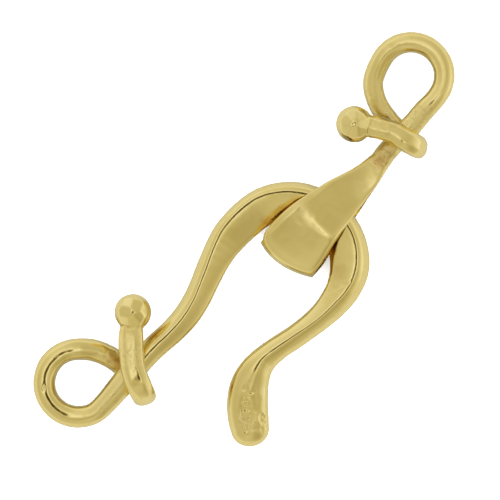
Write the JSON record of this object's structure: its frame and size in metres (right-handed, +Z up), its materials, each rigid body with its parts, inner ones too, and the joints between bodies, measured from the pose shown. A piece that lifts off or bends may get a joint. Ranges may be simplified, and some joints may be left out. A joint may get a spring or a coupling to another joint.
{
  "type": "hook and eye clasp",
  "caption": "Gold clasp: an S-shaped hook whose bend holds the slot of a folded, tapering eye; each half ends in a wire ring tied off with a ball.",
  "frame": {"origin": "centre of the bounding box at the surface that the clasp lies on", "axes": "+X from the hook's ring to the eye's ring, +Y from the hook's tip to the rings, +Z up from the surface"},
  "size_m": [0.0406, 0.016, 0.0042],
  "materials": {
    "hook": "polished 18 ct yellow gold, softly worn, with soldered joints",
    "eye": "polished 18 ct yellow gold, softly worn, with soldered joints"
  },
  "bodies": {
    "hook": {"hook": "hook"},
    "eye": {"eye": "eye"}
  },
  "joints": [
    {"name": "eye_swing", "type": "hinge", "parent": "hook", "child": "eye", "pos_m": [0.001, 0.00068, 0.00202], "axis": [0, 0, 1], "range_deg": [-80, 80]}
  ]
}
